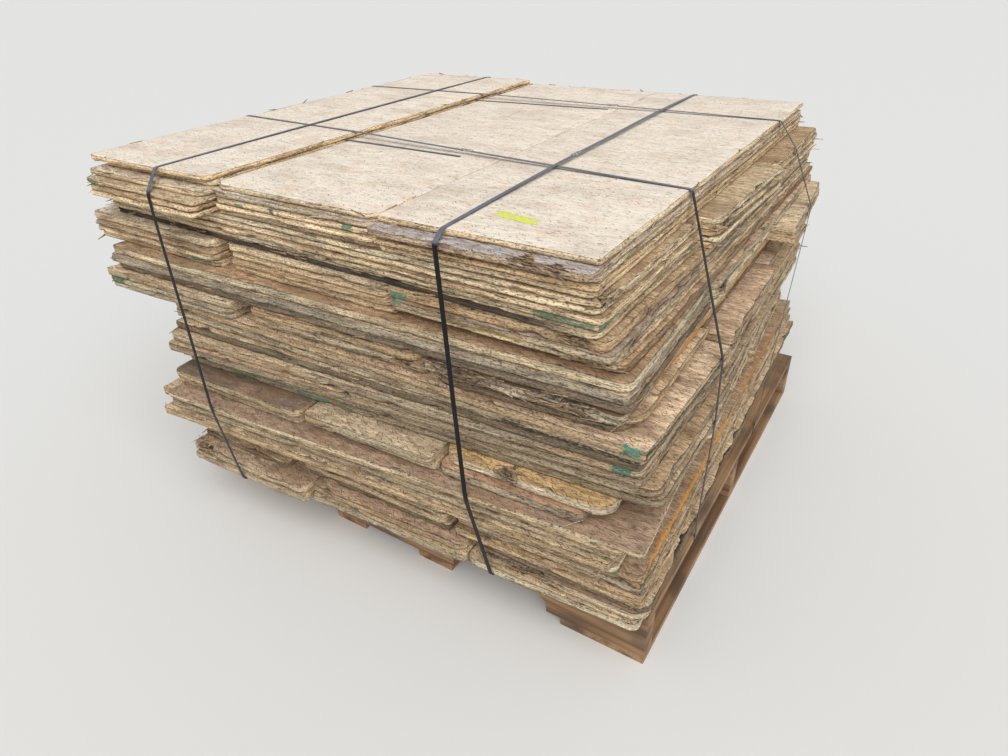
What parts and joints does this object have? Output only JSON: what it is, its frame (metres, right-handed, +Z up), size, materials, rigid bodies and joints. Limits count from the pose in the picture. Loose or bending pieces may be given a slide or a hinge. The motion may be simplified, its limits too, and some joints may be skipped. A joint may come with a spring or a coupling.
{
  "type": "strapped stack of oriented strand board panels",
  "caption": "Stack of oriented strand board panels in alternating courses, held with flat straps on a notched-stringer timber pallet.",
  "frame": {"origin": "on the floor under the middle of the stack: bottom centre of the bounding box", "axes": "+X to the right along the front, +Y from the front to the back, +Z up"},
  "size_m": [1.4042, 1.3825, 0.792],
  "materials": {
    "panels": "rough sawn oriented strand board, weathered in places",
    "pallet_wood": "rough sawn softwood, worn and dirty",
    "straps": "matt black polyester band",
    "seals": "dull crimped steel"
  },
  "bodies": {
    "root": {"bottom_board_1": "pallet_wood", "bottom_board_2": "pallet_wood", "bottom_board_3": "pallet_wood", "bottom_board_4": "pallet_wood", "course_01_left": "panels", "course_01_middle": "panels", "course_01_right": "panels", "course_02_left": "panels", "course_02_middle": "panels", "course_02_right": "panels", "course_03_back": "panels", "course_03_front": "panels", "course_03_middle": "panels", "course_04_left": "panels", "course_04_middle": "panels", "course_04_right": "panels", "course_05_back": "panels", "course_05_front": "panels", "course_05_middle": "panels", "course_06_left": "panels", "course_06_middle": "panels", "course_06_rear": "panels", "course_06_right": "panels", "course_07_back": "panels", "course_07_front": "panels", "course_07_middle": "panels", "course_08_left": "panels", "course_08_middle": "panels", "course_08_right": "panels", "course_09_back": "panels", "course_09_front": "panels", "course_09_middle": "panels", "course_10_left": "panels", "course_10_middle": "panels", "course_10_right": "panels", "deck_board_1": "pallet_wood", "deck_board_2": "pallet_wood", "deck_board_3": "pallet_wood", "deck_board_4": "pallet_wood", "deck_board_5": "pallet_wood", "deck_board_6": "pallet_wood", "deck_board_7": "pallet_wood", "strap_far": "straps", "strap_left": "straps", "strap_near": "straps", "strap_right": "straps", "strap_seal_far": "seals", "strap_seal_near": "seals", "strap_seal_right": "seals", "stringer_back": "pallet_wood", "stringer_front": "pallet_wood", "stringer_middle": "pallet_wood"}
  },
  "joints": []
}
